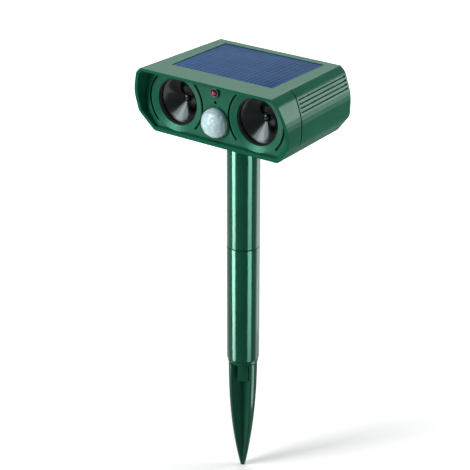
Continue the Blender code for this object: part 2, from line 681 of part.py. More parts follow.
def front_panel(finish, head):
    shape = loft([inner_section(PANEL_Y, PANEL_BACK, GAP), inner_section(PANEL_BACK, None, GAP)])
    lens_hole = LENS_RADIUS + GAP
    low, high = PANEL_Y - BEZEL_HEIGHT - OVERSHOOT, PANEL_BACK + OVERSHOOT
    shape = unite(shape, rod(lens_hole + BEZEL_WIDTH - GAP, PANEL_Y - BEZEL_HEIGHT, PANEL_Y + FUSE, "Y",
                             (0, LENS_Z), ROUND_SIDES))
    for side in (-1, 1):
        place = (side * SENSOR_SCREW_X, SPEAKER_Z + SENSOR_SCREW_RISE)
        shape = unite(shape, post(place, SENSOR_POST_RADIUS, PANEL_BACK - FUSE, SENSOR_BOARD_Y - GAP,
                                  BOARD_SCREW_BITE, "Y"))
        flare = countersink(OPENING_RADIUS, OPENING_RADIUS + FLARE_WIDTH, FLARE_DEPTH, low, high)
        shape = cut(shape, turned(flare, "Y", (side * SPEAKER_X, SPEAKER_Z)))
        for middle in (0, math.pi):
            shape = cut(shape, arc_groove(side * SPEAKER_X, middle))
    shape = cut(shape, rod(lens_hole, low, high, "Y", (0, LENS_Z), ROUND_SIDES),
                rod(CLIP_BORE + CLIP_SLEEVE + GAP, low, high, "Y", (0, LED_Z), SMALL_SIDES),
                rod(LIGHT_HOLE_RADIUS, low, high, "Y", (0, LIGHT_Z), SMALL_SIDES))
    part("front_panel", shape, finish, head)


# Speakers
def speakers(finishes, head):
    flange = SPEAKER_RADIUS - GAP
    lip = OPENING_RADIUS - GASKET_LIP
    gasket = turned([(flange, GASKET_Y), (lip, GASKET_Y), (lip, GASKET_Y + GASKET_THICKNESS),
                     (flange, GASKET_Y + GASKET_THICKNESS)], "Y")
    apex_y = CONE_Y + CONE_DEPTH
    cap_y = apex_y - CONE_DEPTH * (CAP_RADIUS - CONE_APEX_RADIUS) / (lip - CONE_APEX_RADIUS)
    cap = [(CAP_RADIUS * math.sin(a), cap_y - CAP_HEIGHT * math.cos(a))
           for a in (math.pi / 2 * i / CAP_STEPS for i in range(CAP_STEPS + 1))]
    cone = turned([*cap, (lip, CONE_Y), (flange, CONE_Y),
                   (flange, CONE_Y + CONE_SKIN), (lip, CONE_Y + CONE_SKIN),
                   (CONE_APEX_RADIUS, apex_y + CONE_SKIN), (0, apex_y + CONE_SKIN)], "Y")
    inner = SPEAKER_RADIUS - FRAME_WALL
    frame = turned([(SPEAKER_RADIUS, FRAME_Y), (SPEAKER_RADIUS, FRAME_BACK_Y),
                    (FRAME_VENT_RADIUS, FRAME_BACK_Y), (FRAME_VENT_RADIUS, FRAME_BACK_Y - FRAME_BACK),
                    (inner, FRAME_BACK_Y - FRAME_BACK), (inner, FRAME_Y)], "Y", sides=ROUND_SIDES // 2)
    piezo = rod(PIEZO_RADIUS, PIEZO_Y, PIEZO_Y + PIEZO_THICKNESS, "Y", sides=ROUND_SIDES // 2)
    shapes = {"gasket": gasket, "cone": cone, "frame": frame, "piezo": piezo}
    for side, word in ((-1, "left"), (1, "right")):
        for key, shape in shapes.items():
            part(f"{word}_speaker_{key}", shape, finishes[key], head, (side * SPEAKER_X, 0, SPEAKER_Z))


# Motion sensor and LED
def sensor_unit(finishes, head):
    flange = LENS_RADIUS + LENS_FLANGE
    front = PANEL_Y - BEZEL_HEIGHT
    back = GASKET_Y + LENS_SKIN
    steps = SMALL_SIDES // 3
    outer = [(LENS_RADIUS * math.cos(a), front - LENS_HEIGHT * math.sin(a))
             for a in (math.pi / 2 * i / steps for i in range(steps))]
    bore = LENS_RADIUS - LENS_SKIN
    depth = LENS_HEIGHT - LENS_SKIN
    inner = [(bore * math.cos(a), front - depth * math.sin(a))
             for a in (math.pi / 2 * i / steps for i in range(steps))]
    profile = [(0, front - depth), *reversed(inner), (bore, back), (flange, back), (flange, GASKET_Y),
               (LENS_RADIUS, GASKET_Y), *outer, (0, front - LENS_HEIGHT)]
    part("pir_lens", turned(profile, "Y", (0, LENS_Z)), finishes["lens"], head)
    ring_y = back + GAP
    ring = turned([(flange, ring_y), (bore, ring_y), (bore, ring_y + RETAINER_THICKNESS),
                   (flange, ring_y + RETAINER_THICKNESS)], "Y", (0, LENS_Z), ROUND_SIDES // 2)
    part("lens_retainer", ring, finishes["ring"], head)
    front_of_board = SENSOR_BOARD_Y - GAP
    half = SENSOR_SCREW_X + SENSOR_POST_RADIUS + GAP
    top = LED_Z + LED_RADIUS + LED_FLANGE
    base = LENS_Z - SENSOR_CAN_RADIUS - GAP
    board = box((-half, SENSOR_BOARD_Y, base), (half, SENSOR_BOARD_Y + BOARD_THICKNESS, top))
    screw_z = SPEAKER_Z + SENSOR_SCREW_RISE
    head_y = SENSOR_BOARD_Y + BOARD_THICKNESS + GAP
    for side, word in ((-1, "left"), (1, "right")):
        place = (side * SENSOR_SCREW_X, screw_z)
        board = cut(board, rod(SCREW_RADIUS + GAP, SENSOR_BOARD_Y - OVERSHOOT, head_y + OVERSHOOT, "Y",
                               place, HOLE_SIDES))
        reach = BOARD_SCREW_BITE + BOARD_THICKNESS
        part(f"sensor_screw_{word}", screw(reach), finishes["screw"], head, (place[0], head_y, screw_z)
             ).rotation_euler.x = -math.pi / 2
    part("sensor_board", board, finishes["board"], head)
    can = rod(SENSOR_CAN_RADIUS, ring_y, front_of_board, "Y", (0, LENS_Z))
    part("pir_sensor", can, finishes["can"], head)
    tip = PANEL_Y - LED_STANDOUT
    shoulder = tip + LED_RADIUS
    steps = SMALL_SIDES // 4
    dome = [(LED_RADIUS * math.sin(a), shoulder - LED_RADIUS * math.cos(a))
            for a in (math.pi / 2 * i / steps for i in range(steps + 1))]
    base_radius = LED_RADIUS + LED_FLANGE
    led = turned([*dome, (LED_RADIUS, front_of_board - LED_FLANGE_HEIGHT),
                  (base_radius, front_of_board - LED_FLANGE_HEIGHT), (base_radius, front_of_board),
                  (0, front_of_board)], "Y", (0, LED_Z), SMALL_SIDES)
    part("status_led", led, finishes["led"], head)
    seat, sleeve = PANEL_Y - GAP, CLIP_BORE + CLIP_SLEEVE
    rim = seat - CLIP_HEIGHT
    clip = turned([(CLIP_BORE, rim), (CLIP_RADIUS - CLIP_CHAMFER, rim), (CLIP_RADIUS, rim + CLIP_CHAMFER),
                   (CLIP_RADIUS, seat), (sleeve, seat), (sleeve, PANEL_BACK), (CLIP_BORE, PANEL_BACK)],
                  "Y", (0, LED_Z), SMALL_SIDES)
    part("led_clip", clip, finishes["ring"], head)
    eye = rod(LIGHT_SENSOR_RADIUS, GASKET_Y, front_of_board, "Y", (0, LIGHT_Z))
    part("light_sensor", eye, finishes["eye"], head)


# Solar panel
def solar(finishes, head):
    panel = box((-SOLAR_HALF, SOLAR_FRONT, SOLAR_BASE), (SOLAR_HALF, SOLAR_BACK, SOLAR_TOP))
    part("solar_panel", panel, finishes["cells"], head)
    pad = box((-SOLAR_HALF + PAD_MARGIN, SOLAR_FRONT + PAD_MARGIN, PAD_BASE),
              (SOLAR_HALF - PAD_MARGIN, SOLAR_BACK - PAD_MARGIN, PAD_BASE + PAD_THICKNESS))
    part("solar_pad", pad, finishes["pad"], head)


# Batteries
def batteries(finishes, head):
    radius = CELL_DIAMETER / 2
    start = GAP / 2
    profile = [(0, start), (radius, start), (radius, start + CELL_BODY_LENGTH),
               (NUB_RADIUS, start + CELL_BODY_LENGTH), (NUB_RADIUS, start + CELL_LENGTH),
               (0, start + CELL_LENGTH)]
    cell = turned(profile, sides=SMALL_SIDES)
    rows = (BAY_FRONT + GAP + radius, BAY_BACK - GAP - radius)
    for row, word in zip(rows, ("front", "rear")):
        for side, hand in ((-1, "left"), (1, "right")):
            piece = part(f"battery_{word}_{hand}", cell, finishes["cell"], head, (0, row, CELL_Z))
            piece.rotation_euler.y = side * math.pi / 2
    for side, hand in ((-1, "left"), (1, "right")):
        near = side * (start + CELL_LENGTH + GAP)
        far = side * (start + CELL_LENGTH + GAP + CONTACT_THICKNESS)
        plate = box((min(near, far), BAY_FRONT + GAP, DOOR_TOP + GAP),
                    (max(near, far), BAY_BACK - GAP, BAY_TOP - GAP))
        part(f"battery_contact_{hand}", plate, finishes["contact"], head)
    door = prism(door_outline(GAP, DOOR_FLUSH), BAY_FRONT + 2 * GAP, REAR_Y - DOOR_FLUSH)
    for i in range(DOOR_GRIP_COUNT):
        y = REAR_Y - DOOR_GRIP_WIDTH * (2 * i + 3)
        groove = box((-DOOR_GRIP_HALF_WIDTH, y, -OVERSHOOT),
                     (DOOR_GRIP_HALF_WIDTH, y + DOOR_GRIP_WIDTH, DOOR_FLUSH + DOOR_GRIP_DEPTH))
        door = cut(door, groove)
    part("battery_door", door, finishes["case"], head)


# Main board
def standoff_places():
    return [(side * STANDOFF_X, y) for y in STANDOFF_Y for side in (-1, 1)]


def electronics(finishes, head):
    board = box((-BOARD_HALF, BOARD_FRONT, BOARD_Z), (BOARD_HALF, BOARD_BACK, BOARD_TOP))
    top = BOARD_TOP + GAP
    for i, place in enumerate(standoff_places()):
        board = cut(board, rod(SCREW_RADIUS + GAP, BOARD_Z - OVERSHOOT, top + OVERSHOOT, centre=place,
                               sides=HOLE_SIDES))
        part(f"board_screw_{i + 1}", screw(BOARD_SCREW_BITE + BOARD_THICKNESS), finishes["screw"], head,
             (*place, top))
    part("main_board", board, finishes["board"], head)
    for side, word in ((-1, "left"), (1, "right")):
        place = (side * (STANDOFF_X - TRANSFORMER_RADIUS - 2 * BOARD_MARGIN),
                 BOARD_FRONT + TRANSFORMER_RADIUS + BOARD_MARGIN)
        coil = rod(TRANSFORMER_RADIUS, top, top + TRANSFORMER_HEIGHT, centre=place)
        part(f"step_up_transformer_{word}", coil, finishes["coil"], head)
    middle = (STANDOFF_Y[0] + STANDOFF_Y[1]) / 2
    width, depth, height = CHIP_SIZE
    chip = box((-width / 2, middle - depth / 2, top), (width / 2, middle + depth / 2, top + height))
    part("control_chip", chip, finishes["chip"], head)
    drum = rod(CAPACITOR_RADIUS, top, top + CAPACITOR_HEIGHT,
               centre=(-width / 2 - BOARD_MARGIN - CAPACITOR_RADIUS, middle))
    part("storage_capacitor", drum, finishes["drum"], head)
    width, depth, height = SOCKET_SIZE
    back = REAR_PANEL_BACK - FUSE
    port = box((-width / 2, back - depth, top), (width / 2, back, top + height))
    skin = height / 6
    hollow = box((-width / 2 + skin, back - depth + skin, top + skin),
                 (width / 2 - skin, back + OVERSHOOT, top + height - skin))
    part("charging_socket", cut(port, hollow), finishes["can"], head)


# Rear dials and port cover
def fluted_ring(height):
    """Outline of a knob with a shallow flute all round, at a height along its axis."""
    count = KNOB_FLUTES * 4
    ring = []
    for i in range(count):
        radius = KNOB_RADIUS - (KNOB_FLUTE_DEPTH if i % 4 in (1, 2) else 0)
        angle = math.tau * i / count
        ring.append((radius * math.cos(angle), height, radius * math.sin(angle)))
    return ring


def dials(finishes, head):
    back = REAR_PANEL_Y - GAP
    bushing_end = REAR_PANEL_BACK + BUSHING_STANDOUT
    bore = SHAFT_RADIUS + GAP
    bore_end = back - SHAFT_DEPTH_IN_POT
    pot = turned([(0, back - POT_DEPTH), (POT_RADIUS, back - POT_DEPTH), (POT_RADIUS, back),
                  (BUSHING_RADIUS, back), (BUSHING_RADIUS, bushing_end), (bore, bushing_end),
                  (bore, bore_end), (0, bore_end)], "Y", sides=ROUND_SIDES // 2)
    shaft_end = KNOB_Y + KNOB_HEIGHT - KNOB_ROOF - GAP
    shaft = rod(SHAFT_RADIUS, bore_end + GAP - KNOB_Y, shaft_end - KNOB_Y, "Y")
    knob = loft([fluted_ring(0), fluted_ring(KNOB_HEIGHT)])
    pointer = box((-POINTER_WIDTH / 2, KNOB_HEIGHT - POINTER_DEPTH, KNOB_RADIUS / 3),
                  (POINTER_WIDTH / 2, KNOB_HEIGHT + OVERSHOOT, KNOB_RADIUS + OVERSHOOT))
    knob = cut(knob, rod(bore, -OVERSHOOT, KNOB_HEIGHT - KNOB_ROOF, "Y"), pointer)
    for side, word in ((-1, "sensitivity"), (1, "frequency")):
        place = (side * POT_SPREAD, 0, POT_Z)
        axis = (side * POT_SPREAD, KNOB_Y, POT_Z)
        part(f"{word}_pot", pot, finishes["pot"], head, place)
        part(f"{word}_shaft", shaft, finishes["shaft"], head, axis)
        part(f"{word}_knob", knob, finishes["knob"], head, axis)


def port_cover(finish, head):
    """Rubber flap that hangs from its round top edge and swings up."""
    half = SOCKET_SIZE[0] / 2 + COVER_MARGIN
    drop = COVER_AXIS_Z - (PORT_Z - SOCKET_SIZE[2] / 2 - COVER_MARGIN)
    radius = COVER_THICKNESS / 2
    steps = SMALL_SIDES // 4
    edge = [(radius * math.cos(a), radius * math.sin(a))
            for a in (math.pi * i / steps for i in range(steps + 1))]
    outline = [*edge, (-radius, -drop), (radius, -drop)]
    flap = loft([[(x, y, z) for y, z in outline] for x in (-half, half)])
    part("port_cover", flap, finish, head, (0, COVER_AXIS_Y, COVER_AXIS_Z))


# Screws
def screw(reach):
    """A pan-head screw with a cross slot; its head stands on z = 0 and it points down."""
    shape = turned([(0, -reach), (SCREW_RADIUS, -reach), (SCREW_RADIUS, 0), (SCREW_HEAD_RADIUS, 0),
                    (SCREW_HEAD_RADIUS, SCREW_HEAD_HEIGHT), (0, SCREW_HEAD_HEIGHT)], sides=SCREW_SIDES)
    low = SCREW_HEAD_HEIGHT - SCREW_SLOT_DEPTH
    high = SCREW_HEAD_HEIGHT + OVERSHOOT
    long, short = SCREW_HEAD_RADIUS * 0.65, SCREW_SLOT_WIDTH / 2
    cross = unite(box((-long, -short, low), (long, short, high)),
                  box((-short, -long, low), (short, long, high)))
    return cut(shape, cross)


def case_screws(finish, head):
    seat = SCREW_RECESS + SCREW_HEAD_HEIGHT
    reach = POST_HEIGHT + GAP + SCREW_BITE - seat
    shape = screw(reach)
    for i, place in enumerate(post_places()):
        piece = part(f"case_screw_{i + 1}", shape, finish, head, (*place, seat))
        piece.rotation_euler.x = math.pi


# Leads inside the head
def lead(name, points, finish, head):
    """A thin wire on a smooth curve through points."""
    samples = []
    padded = [points[0], *points, points[-1]]
    for a, b, c, d in zip(padded, padded[1:], padded[2:], padded[3:]):
        a, b, c, d = Vector(a), Vector(b), Vector(c), Vector(d)
        for i in range(LEAD_STEPS):
            t = i / LEAD_STEPS
            samples.append(b + (c - a) * (t / 2) + (a * 2 - b * 5 + c * 4 - d) * (t * t / 2)
                           + (b * 3 - a - c * 3 + d) * (t ** 3 / 2))
    samples.append(Vector(points[-1]))
    curve = bpy.data.curves.new(name, "CURVE")
    curve.dimensions = "3D"
    curve.bevel_depth = LEAD_RADIUS
    curve.bevel_resolution = 1
    curve.use_fill_caps = True
    spline = curve.splines.new("POLY")
    spline.points.add(len(samples) - 1)
    for point, place in zip(spline.points, samples):
        point.co = (*place, 1.0)
    curve.materials.append(finish)
    wire = bpy.data.objects.new(name, curve)
    bpy.context.scene.collection.objects.link(wire)
    wire.parent = head


def leads(finishes, head):
    top = BOARD_TOP + 2 * GAP
    rise = 3 * LEAD_RADIUS
    for side, word in ((-1, "left"), (1, "right")):
        start = side * SPEAKER_X
        end = side * (BOARD_HALF - LEAD_RADIUS)
        y = BOARD_FRONT + 2 * LEAD_RADIUS
        lead(f"{word}_speaker_lead",
             [(start, FRAME_BACK_Y + GAP, SPEAKER_Z), (start, FRAME_BACK_Y + rise, SPEAKER_Z),
              ((start + end) / 2, (FRAME_BACK_Y + y) / 2, top + 2 * rise), (end, y, top + rise),
              (end, y, top)],
             finishes["red"], head)
    lead("solar_lead",
         [(0, SOLAR_LEAD_Y, PAD_BASE - GAP), (0, SOLAR_LEAD_Y, HEAD_HEIGHT - TOP_WALL - rise),
          (0, SOLAR_LEAD_Y + rise, (top + HEAD_HEIGHT) / 2), (0, SOLAR_LEAD_Y, top + rise),
          (0, SOLAR_LEAD_Y, top)],
         finishes["red"], head)
    start_y = SENSOR_BOARD_Y + BOARD_THICKNESS + GAP
    end_y = BOARD_FRONT + LEAD_RADIUS
    lead("sensor_cable",
         [(0, start_y, SPEAKER_Z), (0, start_y + rise, SPEAKER_Z), (0, (start_y + end_y) / 2, top + 2 * rise),
          (0, end_y, top + rise), (0, end_y, top)], finishes["grey"], head)


def main():
    for item in list(bpy.data.objects):
        bpy.data.objects.remove(item)
    green = material("green_plastic", (0.010, 0.130, 0.075), 0.35)
    panel_green = material("panel_green_plastic", (0.010, 0.115, 0.066), 0.45)
    black = material("black_plastic", (0.012, 0.012, 0.012), 0.5)
    rubber = material("black_rubber", (0.010, 0.010, 0.010), 0.8)
    aluminium = material("aluminium", (0.80, 0.80, 0.82), 0.15, 1.0)
    brass = material("brass", (0.75, 0.56, 0.25), 0.3, 1.0)
    steel = material("steel", (0.60, 0.60, 0.60), 0.3, 1.0)
    white = material("lens_plastic", (0.85, 0.88, 0.88), 0.3)
    red = material("red_led", (0.60, 0.02, 0.02), 0.15)
    solar_blue = material("solar_cells", (0.010, 0.025, 0.120), 0.15)
    circuit = material("circuit_board", (0.010, 0.090, 0.030), 0.5)
    copper = material("copper_winding", (0.60, 0.25, 0.12), 0.4, 1.0)
    wrapper = material("battery_wrapper", (0.05, 0.20, 0.40), 0.3)
    lead_red = material("red_lead", (0.45, 0.02, 0.02), 0.5)
    lead_grey = material("grey_lead", (0.35, 0.35, 0.36), 0.5)

    ground_spike(green)
    tubes(green)
    head = bpy.data.objects.new("head_pivot", None)
    bpy.context.scene.collection.objects.link(head)
    head.location.z = HEAD_BASE
    upper_case(green, head)
    lower_case(green, head)
    front_panel(panel_green, head)
    rear_panel(panel_green, head)
    speakers({"gasket": rubber, "cone": aluminium, "frame": black, "piezo": brass}, head)
    sensor_unit({"lens": white, "ring": black, "board": circuit, "can": steel, "led": red,
                 "eye": black, "screw": steel}, head)
    solar({"cells": solar_blue, "pad": rubber}, head)
    batteries({"cell": wrapper, "contact": steel, "case": green}, head)
    electronics({"board": circuit, "coil": copper, "chip": black, "drum": black, "can": steel,
                 "screw": steel}, head)
    dials({"pot": steel, "shaft": steel, "knob": black}, head)
    port_cover(rubber, head)
    case_screws(steel, head)
    leads({"red": lead_red, "grey": lead_grey}, head)


main()
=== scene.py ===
"""Looks of the solar pest repeller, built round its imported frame."""
import json
import math

import bmesh
import bpy
from mathutils import Matrix, Vector


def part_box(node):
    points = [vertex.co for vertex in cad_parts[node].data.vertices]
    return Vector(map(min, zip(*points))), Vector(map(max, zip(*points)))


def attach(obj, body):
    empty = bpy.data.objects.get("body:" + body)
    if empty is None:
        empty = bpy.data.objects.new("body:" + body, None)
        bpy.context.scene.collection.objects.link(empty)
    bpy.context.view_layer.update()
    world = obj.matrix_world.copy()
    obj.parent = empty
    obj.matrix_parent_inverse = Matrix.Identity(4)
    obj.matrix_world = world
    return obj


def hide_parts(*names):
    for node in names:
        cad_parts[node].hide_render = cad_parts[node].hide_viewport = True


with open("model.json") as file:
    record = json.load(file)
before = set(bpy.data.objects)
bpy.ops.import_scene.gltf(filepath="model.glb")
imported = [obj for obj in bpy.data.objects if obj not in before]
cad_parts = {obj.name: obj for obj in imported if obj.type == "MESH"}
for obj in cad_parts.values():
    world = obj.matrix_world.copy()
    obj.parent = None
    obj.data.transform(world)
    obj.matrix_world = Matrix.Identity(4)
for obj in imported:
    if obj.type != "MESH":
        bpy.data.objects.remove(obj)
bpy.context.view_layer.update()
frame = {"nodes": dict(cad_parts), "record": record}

nodes = frame["nodes"]
scene = bpy.context.scene
scene.view_settings.view_transform = "Standard"

# Camera
CAMERA_YAW, CAMERA_PITCH = math.radians(36.67), math.radians(24.44)
CAMERA_PLACE = (0.7265, -0.9883, 0.6846)
CAMERA_AZIMUTH = -53.7            # degrees, of the camera as the pole sees it
CLIP_START, CLIP_END = 0.05, 50
FOCAL_PIXELS, IMAGE_PIXELS = 1500, 470
SENSOR_WIDTH = 36


def make_camera():
    """The camera at the photograph's viewing angle."""
    yaw, pitch = CAMERA_YAW, CAMERA_PITCH
    back = Vector((math.sin(yaw) * math.cos(pitch), -math.cos(yaw) * math.cos(pitch), math.sin(pitch)))
    right = Vector((math.cos(yaw), math.sin(yaw), 0))
    up = back.cross(right)
    data = bpy.data.cameras.new("camera")
    data.sensor_width = SENSOR_WIDTH
    data.lens = SENSOR_WIDTH * FOCAL_PIXELS / IMAGE_PIXELS
    data.clip_start, data.clip_end = CLIP_START, CLIP_END
    camera = bpy.data.objects.new("camera", data)
    turn = Matrix((right, up, back)).transposed().to_4x4()
    camera.matrix_world = Matrix.Translation(CAMERA_PLACE) @ turn
    scene.collection.objects.link(camera)
    scene.camera = camera


# Light
POLE_RADIUS = 0.015
STRIP_MIDDLE = 0.17               # height of the middle of the strips beside the pole
STRIP_DISTANCE = 0.012
STRIP_LENGTH = 0.56               # long enough for the pole when it is pulled apart
STRIP_SPREAD = 90                 # degrees
AMBIENT = 0.27                    # strength of the world as a light
WHITE = 1.06                      # strength of the world as a background
SKY = (0.95, 0.98, 1.0, 1)
HEAD_FRONT = (0, -0.03, 0.255)    # what the cones' lamps face
POLE_LOW = (0, 0, 0.05)
TONGUE = (0, 0, -0.0485)
VANES = (0, 0, -0.0705)


def lamp(name, azimuth, elevation, distance, size, radiance, centre=(0, 0, 0.2), only_on=None,
         shine=True):
    """A soft box at a bearing from a point, facing it; its power follows from its radiance.

    With only_on it shows as gloss alone, on the pieces of that collection.
    Without shine it gives no gloss.
    """
    a, e = math.radians(azimuth), math.radians(elevation)
    out = Vector((math.cos(a) * math.cos(e), math.sin(a) * math.cos(e), math.sin(e)))
    data = bpy.data.lights.new(name, "AREA")
    data.shape = "RECTANGLE"
    data.size, data.size_y = size
    data.energy = radiance * math.pi * size[0] * size[1]
    light = bpy.data.objects.new(name, data)
    light.location = Vector(centre) + out * distance
    light.rotation_euler = out.to_track_quat("Z", "Y").to_euler()
    light.visible_camera = False
    light.visible_glossy = shine
    if only_on:
        light.visible_diffuse = False
        light.light_linking.receiver_collection = only_on
    scene.collection.objects.link(light)
    return data


def pole_strip(name, azimuth, width, radiance, pole):
    """A long strip so near the pole that it shows on one side of it alone.

    The spot that shows it to the camera faces half way between the camera and the strip.
    """
    facing = math.radians((azimuth + CAMERA_AZIMUTH) / 2)
    spot = (POLE_RADIUS * math.cos(facing), POLE_RADIUS * math.sin(facing), STRIP_MIDDLE)
    data = lamp(name, azimuth, 0, STRIP_DISTANCE, (width, STRIP_LENGTH), radiance, spot, pole)
    data.spread = math.radians(STRIP_SPREAD)


def gathered(name, *pieces):
    """A collection of the pieces that a lamp for gloss may show on."""
    group = bpy.data.collections.new(name)
    for piece_name in pieces:
        group.objects.link(bpy.data.objects[piece_name])
    return group


def background_rays(tree):
    """1 for rays that show the white background: from the camera, off gloss or through glass."""
    path = tree.nodes.new("ShaderNodeLightPath")
    seen = path.outputs["Is Camera Ray"]
    for ray in ("Is Glossy Ray", "Is Transmission Ray"):
        either = tree.nodes.new("ShaderNodeMath")
        either.operation = "MAXIMUM"
        tree.links.new(seen, either.inputs[0])
        tree.links.new(path.outputs[ray], either.inputs[1])
        seen = either.outputs[0]
    return seen


def make_world():
    """A sky that is white to look at and dimmer as a light."""
    world = bpy.data.worlds.new("world")
    world.use_nodes = True
    tree = world.node_tree
    tree.nodes["Background"].inputs["Color"].default_value = SKY
    strength = tree.nodes.new("ShaderNodeMapRange")
    strength.inputs["To Min"].default_value = AMBIENT
    strength.inputs["To Max"].default_value = WHITE
    tree.links.new(background_rays(tree), strength.inputs["Value"])
    tree.links.new(strength.outputs["Result"], tree.nodes["Background"].inputs["Strength"])
    scene.world = world


def make_light(front, pole, cones, spike):
    """Lamps by name, azimuth, elevation, distance, size and radiance.

    The key's shine stands just behind the key, because two lamps in one place hide each other.
    """
    lamp("key", -122, 25, 1.1, (0.32, 1.0), 15, shine=False)
    lamp("key_shine", -122, 25, 1.12, (0.32, 1.0), 19, only_on=front)
    lamp("overhead", 90, 80, 1.0, (0.8, 0.8), 1.5)
    lamp("back", 127, 40, 1.2, (1.3, 0.55), 3.6)
    lamp("side", 47, 7, 0.9, (0.45, 0.26), 17)
    lamp("horn_glint", -127, 24, 1.0, (0.90, 0.36), 20, HEAD_FRONT, cones)
    lamp("horn_rim", -108, -28, 0.45, (0.30, 0.22), 5, HEAD_FRONT, cones)
    pole_strip("strip_left", -123, 0.0078, 25, pole)
    pole_strip("strip_right", -9, 0.0092, 13.7, pole)
    pole_strip("strip_edge", 60, 0.0080, 1.5, pole)
    lamp("strip_rear", 67, 0, 0.26, (0.150, 0.40), 1.8, POLE_LOW, pole)
    lamp("strip_tongue", -145, 0, 0.09, (0.016, 0.024), 7, TONGUE, spike)
    lamp("strip_spike", 20, 0, 0.09, (0.050, 0.075), 14, VANES, spike)


# Materials
BEVEL_SAMPLES = 12
# Painted shade: these set how colour is darkened by ambient occlusion in grooves and corners
CREVICE_SAMPLES = 8
CREVICE_REACH = 0.004             # how near a wall must be to darken a spot


class Nodes:
    """A material's node tree with short ways to add and join nodes."""

    def __init__(self, name):
        self.made = bpy.data.materials.new(name)
        self.made.use_nodes = True
        self.tree = self.made.node_tree
        self.shader = self.tree.nodes["Principled BSDF"]
        self.place = self.add("ShaderNodeTexCoord").outputs["Object"]

    def add(self, kind, **values):
        node = self.tree.nodes.new(kind)
        for key, value in values.items():
            setattr(node, key, value)
        return node

    def join(self, source, target):
        self.tree.links.new(source, target)

    def noise(self, scale, detail, stretch=None):
        node = self.add("ShaderNodeTexNoise")
        node.inputs["Scale"].default_value = scale
        node.inputs["Detail"].default_value = detail
        source = self.place
        if stretch:
            mapping = self.add("ShaderNodeMapping")
            mapping.inputs["Scale"].default_value = stretch
            self.join(source, mapping.inputs["Vector"])
            source = mapping.outputs["Vector"]
        self.join(source, node.inputs["Vector"])
        return node.outputs["Fac"]

    def ramp(self, value, stops):
        """A colour that runs between two stops, each a place and a colour."""
        node = self.add("ShaderNodeValToRGB")
        for element, (place, colour) in zip(node.color_ramp.elements, stops):
            element.position = place
            element.color = (*colour, 1)
        self.join(value, node.inputs["Fac"])
        return node.outputs["Color"]

    def spread(self, value, low, high, from_low=0.3, from_high=0.7):
        """A value stretched to a range; noise lies mostly between 0.3 and 0.7."""
        node = self.add("ShaderNodeMapRange")
        node.inputs["From Min"].default_value = from_low
        node.inputs["From Max"].default_value = from_high
        node.inputs["To Min"].default_value = low
        node.inputs["To Max"].default_value = high
        self.join(value, node.inputs["Value"])
        return node.outputs["Result"]

    def bump(self, value, distance, strength, edge=0.0):
        """Grain from a height; with an edge radius, sharp edges are shaded as rounded ones."""
        node = self.add("ShaderNodeBump")
        node.inputs["Distance"].default_value = distance
        node.inputs["Strength"].default_value = strength
        self.join(value, node.inputs["Height"])
        if edge:
            bevel = self.add("ShaderNodeBevel", samples=BEVEL_SAMPLES)
            bevel.inputs["Radius"].default_value = edge
            self.join(bevel.outputs["Normal"], node.inputs["Normal"])
        self.join(node.outputs["Normal"], self.shader.inputs["Normal"])

    def painted_crevice_shade(self, tone):
        """Darken a colour by ambient occlusion in grooves and corners: painted shade."""
        hollow = self.add("ShaderNodeAmbientOcclusion", samples=CREVICE_SAMPLES)
        hollow.inputs["Distance"].default_value = CREVICE_REACH
        darker = self.add("ShaderNodeMix", data_type="RGBA", blend_type="MULTIPLY")
        darker.inputs["Factor"].default_value = 1.0
        self.join(tone, darker.inputs[6])
        self.join(self.ramp(hollow.outputs["AO"], [(0.3, (0.2, 0.2, 0.2)), (0.8, (1, 1, 1))]),
                  darker.inputs[7])
        return darker.outputs[2]

    def set(self, **values):
        """Constants on the shader's own sockets."""
        for key, value in values.items():
            self.shader.inputs[key.replace("_", " ")].default_value = value


def tinted(colour, share):
    """A colour made darker or lighter."""
    return tuple(c * share for c in colour)


def moulded(name, colour, roughness, grain=900, depth=0.00003, edge=0.0004, under=0.0, **values):
    """Moulded plastic: slightly uneven colour and gloss, painted shade in grooves and corners, fine
    grain, soft edges.

    Faces that don't look upwards are at least as rough as under.
    """
    m = Nodes(name)
    broad = m.noise(28, 4)
    tone = m.ramp(broad, [(0.3, tinted(colour, 0.88)), (0.7, tinted(colour, 1.12))])
    # Painted shade: the colour is darkened in grooves and corners by ambient occlusion
    m.join(m.painted_crevice_shade(tone), m.shader.inputs["Base Color"])
    rough = m.spread(broad, roughness * 0.9, roughness * 1.12)
    if under:
        split = m.add("ShaderNodeSeparateXYZ")
        m.join(m.add("ShaderNodeNewGeometry").outputs["Normal"], split.inputs[0])
        dull = m.add("ShaderNodeMath", operation="MAXIMUM")
        m.join(rough, dull.inputs[0])
        m.join(m.spread(split.outputs["Z"], under, 0.0, 0.02, 0.25), dull.inputs[1])
        rough = dull.outputs[0]
    m.join(rough, m.shader.inputs["Roughness"])
    m.bump(m.noise(grain, 2), depth, 0.6, edge)
    m.set(**values)
    return m.made


GREEN = (0.0045, 0.075, 0.040)
GREEN_SHEEN = (0.35, 1.0, 0.75, 1)
# Far darker than bare aluminium: a painted dark reflection in the cones' foil
CONE_PAINTED_DARK = (0.009, 0.0105, 0.011)


